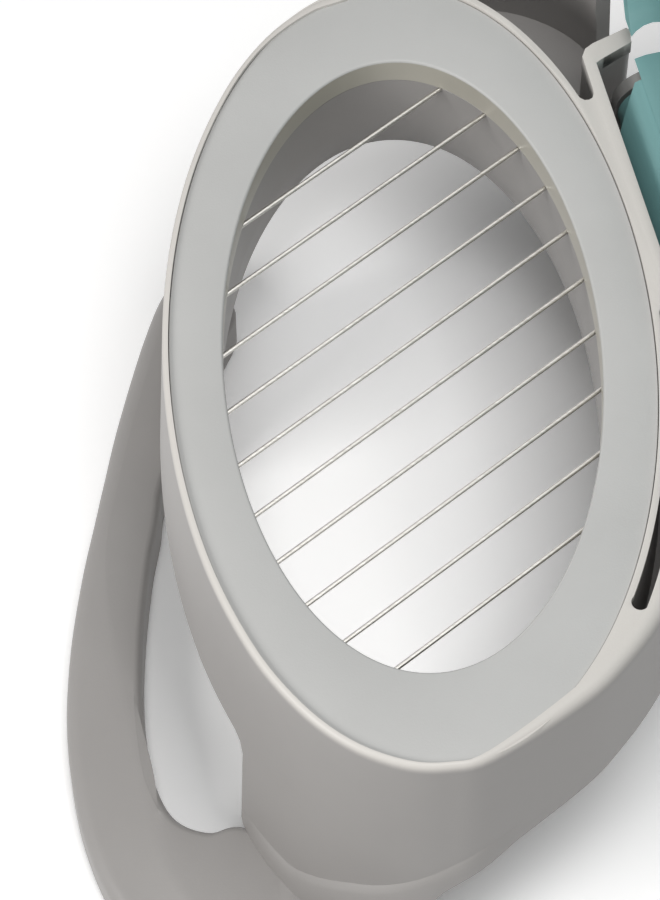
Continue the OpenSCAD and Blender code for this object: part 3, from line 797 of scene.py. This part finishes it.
addHousing()
addOuterWall()
addDeck()
addWebs()
addHingeFrame()
for name in ("ringHousing", "outerWall", "deck", "webs", "hingeFrame"):
    finishPiece(bpy.data.objects[name], "base", greyPlastic, "grey_plastic", "body")
print("body made")


# Clamp ring and wires
clampRing = {"outer": (30.45, 56.85), "low": ringTop - 4.2, "edge": 0.16, "innerEdge": 0.35, "columns": 240}


def addClampRing():
    holeA, holeB = housing["hole"]
    outA, outB = clampRing["outer"]
    low, edge, inner = clampRing["low"], clampRing["edge"], clampRing["innerEdge"]
    profile = [(outA, outB, low), (outA, outB, ringTop - edge)]
    for q in (30, 60, 90):
        c, s = turned(q)
        profile.append((outA - edge * (1 - c), outB - edge * (1 - c), ringTop - edge * (1 - s)))
    for q in (90, 68, 45, 22, 0):
        c, s = turned(q)
        profile.append((holeA + inner * (1 - c), holeB + inner * (1 - c), ringTop - inner * (1 - s)))
    profile.append((holeA, holeB, low))
    return wrapGrid("clampPlate", ovalRows(profile, clampRing["columns"]))


wires = {
    "count": 10, "pitch": 6.84, "radius": 0.3, "level": ringTop - 4.6, "anchor": 3.2, "sides": 14,
    "endPart": 2,
}


def wireEnds(offset):
    a, b = (v + wires["anchor"] for v in housing["hole"])
    c, s = math.cos(wireTurn), math.sin(wireTurn)
    p = c * c / (a * a) + s * s / (b * b)
    q = 2 * (-s * offset * c / (a * a) + c * offset * s / (b * b))
    r = s * s * offset * offset / (a * a) + c * c * offset * offset / (b * b) - 1
    root = math.sqrt(q * q - 4 * p * r)
    return (-q - root) / (2 * p), (-q + root) / (2 * p)


def tube(name, points, radius, sides):  # points lie in one upright plane
    rows = []
    for i, point in enumerate(points):
        before, after = Vector(points[max(i - 1, 0)]), Vector(points[min(i + 1, len(points) - 1)])
        along = (after - before).normalized()
        across = Vector((0, 0, 1)).cross(along).normalized()
        up = along.cross(across)
        ring = [2 * math.pi * k / sides for k in range(sides + 1)]
        rows.append([tuple(Vector(point) + (across * math.cos(q) + up * math.sin(q)) * radius) for q in ring])
    return wrapGrid(name, rows, closed=True)


def addWires():
    c, s = math.cos(wireTurn), math.sin(wireTurn)
    for i in range(wires["count"]):
        offset = ((wires["count"] - 1) / 2 - i) * wires["pitch"]
        start, end = wireEnds(offset)
        line = [start, start + wires["endPart"], (start + end) / 2, end - wires["endPart"], end]
        points = [(u * c - offset * s, u * s + offset * c, wires["level"]) for u in line]
        piece = tube(f"wire{i + 1}", points, wires["radius"], wires["sides"])
        finishPiece(piece, "base", wireSteel, "wire_steel", f"wire_{i + 1:02d}")


def innerWallOf(centre):  # the ring's wall round the hole, below its rounded edge
    a, b = (v + 1 for v in housing["hole"])
    x, y = (centre.x - ringX) / mm, (centre.y - ringY) / mm
    return (x / a) ** 2 + (y / b) ** 2 < 1 and centre.z < (ringTop - clampRing["innerEdge"]) * mm


clampPlate = finishPiece(addClampRing(), "base", ringPlastic, "ring_plastic", "clamp_ring")
paintFaces(clampPlate, rimPlastic, innerWallOf)
addWires()
print("clamp ring and wires made")


# Foot loop, rear foot, pads and pin caps
footLoop = {
    "pairs": [  # outer point, inner point, how far the ridge lies in from the outer edge
        (-27.2, 43.4, -25.6, 41.6, 0), (-31.3, 40.6, -21.6, 36.5, 0), (-34.7, 32.4, -24.3, 29.5, 0),
        (-38.5, 19.4, -29, 18, 0), (-40.6, 10.6, -32.4, 9, 0), (-42.2, 3.5, -33.3, 3.5, 0),
        (-43.9, -4, -34.6, -3, 1), (-45.6, -14, -35.8, -13, 3.3), (-46.4, -24, -36.2, -22, 6),
        (-46, -33, -35.8, -30, 7.2), (-44.4, -42, -34.8, -36, 7.8), (-41, -51, -32.4, -40.8, 7.2),
        (-34.5, -59.5, -28.2, -42.8, 6), (-25, -66, -23.2, -42.4, 4), (-14, -68.5, -13, -48.5, 2),
        (-5, -66.5, -6, -53.5, 1), (-1.5, -60.5, -3.5, -56, 0),
    ],
    "slope": 0.2, "slopeEnd": 0.04, "ridgeStart": 0.05,
    "low": 0.5, "top": 8, "wall": 2, "round": 2.2, "innerRound": 1.2, "roundShare": 0.35, "wallShare": 0.3,
}


def addFootLoop():
    line = blendLine(footLoop["pairs"], 8)
    low, top, wall = footLoop["low"], footLoop["top"], footLoop["wall"]
    rows = []

    def addRow(where):
        row = []
        for x0, y0, x1, y1, ridge in line:
            width = math.hypot(x1 - x0, y1 - y0)
            across, z = where(width, max(ridge, 0))
            part = across / width
            row.append((x0 + (x1 - x0) * part, y0 + (y1 - y0) * part, z))
        rows.append(row)

    def outRound(w):
        return min(footLoop["round"], footLoop["roundShare"] * w)

    def inRound(w):
        return min(footLoop["innerRound"], footLoop["wallShare"] * w)

    def side(w):
        return min(wall, footLoop["wallShare"] * w)

    def drop(r):
        return r * footLoop["slope"]

    # each row is given by the width w there and the ridge's place r
    addRow(lambda w, r: (0, low))
    for q in (0, 18, 36, 54, 72, 90):
        c, s = turned(q)
        addRow(lambda w, r: (outRound(w) * (1 - c), top - drop(r) - outRound(w) * (1 - s)))
    for part in (0.85, 1, 1.15):
        fall = max(1 - part, footLoop["slopeEnd"])
        addRow(lambda w, r: (outRound(w) + footLoop["ridgeStart"] + r * part, top - drop(r) * fall))
    for q in (90, 67, 45, 22, 0):
        c, s = turned(q)
        addRow(lambda w, r: (w - inRound(w) * (1 - c), top - inRound(w) * (1 - s)))
    addRow(lambda w, r: (w, low))
    addRow(lambda w, r: (w - side(w), low))
    addRow(lambda w, r: (w - side(w), top - wall))
    addRow(lambda w, r: (side(w), top - wall - drop(r)))
    addRow(lambda w, r: (side(w), low))
    rows.append(rows[0])
    return wrapGrid("footLoop", rows, closed=True)


screws = {
    "radius": 1, "gap": 0.1, "headWell": 2, "headUnder": 1.4, "bossRadius": 4.4, "bossUnder": 1.9,
    "frontAngles": [-126, -104, 144, 168], "wallIn": 2.8, "rearN": 38, "rearT": [8, 30],
}
pads = {
    "radius": 3.4, "thick": 2, "edge": 0.5,
    "front": [(-30, 30), (-40.6, -22), (-34, -49), (-12, -62)],
    "rear": [(44, 1), (52.5, 20), (44, 42)],
}
screwLine = draftAt(footLoop["top"]) - screws["wallIn"]
frontScrews = [onOval(lipA + screwLine, lipB + screwLine, q) for q in screws["frontAngles"]]
rearScrews = [hingePoint(screws["rearN"], t) for t in screws["rearT"]]


def fitFoot(piece, outline, screwPlaces, padPlaces):
    top, low = footLoop["top"] - screws["bossUnder"], footLoop["low"]
    for u, v in screwPlaces + padPlaces:
        boss = plate("boss", circle(u, v, screws["bossRadius"]), low, top)
        combine(boss, plate("room", outline, low - 1, top + 1), "INTERSECT")
        join(piece, boss)
    for u, v in screwPlaces:
        cut(piece, plate("hole", circle(u, v, screws["radius"] + screws["gap"]), low - 1, top + 2))
        cut(piece, plate("well", circle(u, v, screws["headWell"]), low - 1, top - screws["headUnder"]))
    for u, v in padPlaces:
        cut(piece, plate("padSeat", circle(u, v, pads["radius"]), low - 1, pads["thick"]))
    return piece


rearFoot = {
    "outer": [
        (36, -24), (45, -15), (52, -3), (56, 9), (57.5, 22), (56.5, 35), (51, 48), (41, 57), (24, 60),
    ],
    "inner": (30.9, 11.9), "corner": 2, "edge": 1,
}
bossIn = 0.4  # the bosses stay this far inside a foot's outline


def rearOutline(inset):
    outline = roundCorners(blendLine(rearFoot["outer"], 4)[1:] + [rearFoot["inner"]], rearFoot["corner"])
    return insetLine(outline + outline[:1], inset)[:-1]


def addRearFoot():
    low, top, wall = footLoop["low"], footLoop["top"], footLoop["wall"]
    piece = plate("rearFoot", rearOutline(0), low, top)
    roundEdges(piece, rearFoot["edge"], 50)
    return cut(piece, plate("hollow", rearOutline(wall), low - 1, top - wall))


def addPads(name, node, places):
    for i, (u, v) in enumerate(places):
        pad = plate(f"{name}{i + 1}", circle(u, v, pads["radius"], 40), 0, pads["thick"])
        roundEdges(pad, pads["edge"])
        finishPiece(pad, "base", softRubber, "pad_rubber", node)


pinCap = {"radius": 3.2, "thick": 1.4, "edge": 0.65}


def addPinCap(name, node, t, out):
    start, end = sorted((t, t + out * pinCap["thick"]))
    cap = plate(name, circle(pinN, pinZ, pinCap["radius"], 40), start, end, acrossHinge)
    roundEdges(cap, pinCap["edge"], 40, 5)
    finishPiece(cap, "base", greyPlastic, "grey_plastic", node)


loopLine = blendLine(footLoop["pairs"], 4)
loopOuter = insetLine([values[:2] for values in loopLine], bossIn)
loopInner = insetLine([values[2:4] for values in loopLine], -bossIn)
loopOutline = loopOuter + loopInner[::-1]
footPiece = fitFoot(addFootLoop(), loopOutline, frontScrews, pads["front"])
finishPiece(footPiece, "base", greyPlastic, "grey_plastic", "foot_loop")
rearPiece = fitFoot(addRearFoot(), rearOutline(bossIn), rearScrews, pads["rear"])
finishPiece(rearPiece, "base", greyPlastic, "grey_plastic", "rear_foot")
addPads("frontPad", "front_pads", pads["front"])
addPads("rearPad", "rear_pads", pads["rear"])
addPinCap("nearPinCap", "pin_cap_near", pocket["near"] - pocket["cheek"], -1)
addPinCap("farPinCap", "pin_cap_far", pocket["lugT"] + pocket["cheek"], 1)
print("feet, pads and caps made")


# Press lever, comb and thumb pad, shaped as they lie closed and placed as they stand open
lever = {
    "gap": 1.8, "thick": 2.6, "margin": 1.2, "rimHigh": 2.2, "rimWide": 2.2, "window": (16, 33),
    "drum": 7, "drumGap": 0.5, "coverT": 37.9, "edge": 0.5,
    "shoulder": [(35, 44.5), (34.6, 46), (34.6, 56), (36.1, 56), (36.1, 46.2), (36.3, 44.9)],
    "shoulderEnd": 36.5, "boss": 5.2, "blockIn": 6, "rootFrom": 10, "rootOut": 3, "overlap": 0.3,
    "slant": [(40.4, 36), (35.6, 28.6), (33, 24.6), (33, 38), (40.4, 38)],
    "cheekLow": 43.5, "cheekGap": 0.7, "cheekWide": 1, "cheekAngles": (44, 76.5), "cheekClear": 12.4,
    "cheekTaper": [(10, 39.5), (31, 39.5), (31, 43.5), (18, 48), (10, 48)],
    "tabLow": 51.5, "tabGap": 0.4, "tabWide": 0.7, "tabAngles": (-37, -29),
    "tab": [
        (-26, 17), (-36, 12.5), (-46, 10), (-52, 6), (-54, 0),
        (-52, -6), (-46, -10), (-36, -12.5), (-26, -17),
    ],
    "tabRoot": [(-20, 24), (-20, -24)], "screwOval": (18.4, 36.6),
}
hingeSpan = (0, 80)  # a cut along the whole hinge line
coverLow = ringTop + lever["gap"]
coverTop = coverLow + lever["thick"]
combScrews = [onOval(*lever["screwOval"], q) for q in (45, 135, 225, 315)]


def bandOutline(gap, wide, angles):  # a strip that follows the ring between two angles
    turns = [angles[0] + (angles[1] - angles[0]) * i / 30 for i in range(31)]
    inner = [onOval(lipA + gap, lipB + gap, q) for q in turns]
    outer = [onOval(lipA + gap + wide, lipB + gap + wide, q) for q in reversed(turns)]
    return inner + outer


def addFarCheek():
    outline = bandOutline(lever["cheekGap"], lever["cheekWide"], lever["cheekAngles"])
    cheek = plate("farCheek", outline, lever["cheekLow"], coverLow + lever["overlap"], opened)
    swingRoom = circle(pinN, pinZ, lever["cheekClear"], 64)
    cut(cheek, plate("swingRoom", swingRoom, *hingeSpan, openedAcross))
    return cut(cheek, plate("taper", lever["cheekTaper"], *hingeSpan, openedAcross))


def addLever():
    near, far = pocket["near"] + lever["drumGap"], pocket["lugT"] - lever["drumGap"]
    coverA, coverB = lipA + lever["margin"], lipB + lever["margin"]
    high = coverLow + lever["overlap"]
    piece = plate("pressLever", oval(coverA, coverB, 200), coverLow, coverTop, opened)
    tabStart, tabEnd = (sidePoint(n, s) for n, s in lever["tabRoot"])
    tab = [tabStart] + blendLine([sidePoint(n, s) for n, s in lever["tab"]], 5) + [tabEnd]
    join(piece, plate("tab", tab, coverLow, coverTop, opened))
    inside, outside = lever["rootFrom"], pinN + lever["rootOut"]
    corners = [(inside, near), (outside, near), (outside, lever["coverT"]), (inside, lever["coverT"])]
    join(piece, plate("root", hingeLine(corners), coverLow, coverTop, opened))
    rim = plate("rim", oval(coverA, coverB, 200), coverTop - 0.2, coverTop + lever["rimHigh"], opened)
    rimInner = oval(coverA - lever["rimWide"], coverB - lever["rimWide"], 200)
    cut(rim, plate("rimInner", rimInner, coverTop - 1, coverTop + 5, opened))
    join(piece, rim)
    drum = plate("drum", circle(pinN, pinZ, lever["drum"], 72), near, far, openedAcross)
    below, above = pinZ - lever["drum"] - 1, pinZ + lever["drum"] + 1
    cut(drum, plate("slant", hingeLine(lever["slant"]), below, above))
    join(piece, drum)
    join(piece, plate("boss", circle(pinN, pinZ, lever["boss"], 72), near, far, openedAcross))
    blockIn = pinN - lever["blockIn"]
    block = [(blockIn, pinZ), (outside, pinZ), (outside, high), (blockIn, high)]
    join(piece, plate("block", block, near, far, openedAcross))
    join(piece, plate("shoulder", lever["shoulder"], near, lever["shoulderEnd"], openedAcross))
    join(piece, addFarCheek())
    nearTab = bandOutline(lever["tabGap"], lever["tabWide"], lever["tabAngles"])
    join(piece, plate("nearTab", nearTab, lever["tabLow"], high, opened))
    cut(piece, plate("window", oval(*lever["window"]), coverLow - 1, coverTop + 1, opened))
    cut(piece, plate("pinBore", circle(pinN, pinZ, pocket["bore"]), near - 1, far + 1, openedAcross))
    for u, v in combScrews:
        hole = circle(u, v, screws["radius"] + screws["gap"])
        cut(piece, plate("hole", hole, coverLow - 1, coverTop + 1, opened))
    return roundEdges(piece, lever["edge"], 50)


comb = {"oval": (21.5, 42.1), "plate": 2, "low": 47, "slot": 1.8, "screwDeep": 2.4, "edge": 0.25}


def addComb():
    piece = plate("pressComb", oval(*comb["oval"]), comb["low"], coverLow, opened)
    c, s = math.cos(wireTurn), math.sin(wireTurn)
    for i in range(wires["count"]):
        offset = ((wires["count"] - 1) / 2 - i) * wires["pitch"]
        half = comb["slot"] / 2
        box = [(-60, offset - half), (60, offset - half), (60, offset + half), (-60, offset + half)]
        turned = [(u * c - v * s, u * s + v * c) for u, v in box]
        cut(piece, plate("slot", turned, comb["low"] - 1, coverLow - comb["plate"], opened))
    for u, v in combScrews:
        hole = circle(u, v, screws["radius"])
        cut(piece, plate("hole", hole, coverLow - comb["screwDeep"], coverLow + 1, opened))
    return roundEdges(piece, comb["edge"], 50, 2)


thumbPad = {"size": (9, 13), "thick": 1, "place": (-45, 0), "corner": 2.5, "edge": 0.3}


def addThumbPad():
    long, wide = thumbPad["size"]
    u, v = sidePoint(*thumbPad["place"])
    corners = [(-long / 2, -wide / 2), (long / 2, -wide / 2), (long / 2, wide / 2), (-long / 2, wide / 2)]
    outline = [(u + x, v + y) for x, y in hingeLine(roundCorners(corners, thumbPad["corner"]))]
    pad = plate("thumbPad", outline, coverTop, coverTop + thumbPad["thick"], opened)
    return roundEdges(pad, thumbPad["edge"], 50)


finishPiece(addLever(), "lever", tealPlastic, "teal_plastic", "lever")
finishPiece(addComb(), "lever", ringPlastic, "ring_plastic", "comb")
finishPiece(addThumbPad(), "lever", softRubber, "pad_rubber", "thumb_pad")
print("lever, comb and thumb pad made")


# Carried pieces keep their own shapes and get steel
steelNodes = ("ring_screws", "wire_ferrules", "foot_screws", "hinge_pin", "comb_screws")
for piece in bpy.data.objects:
    if piece.name.split(".")[0] in steelNodes:
        piece.data.materials.clear()
        piece.data.materials.append(screwSteel)
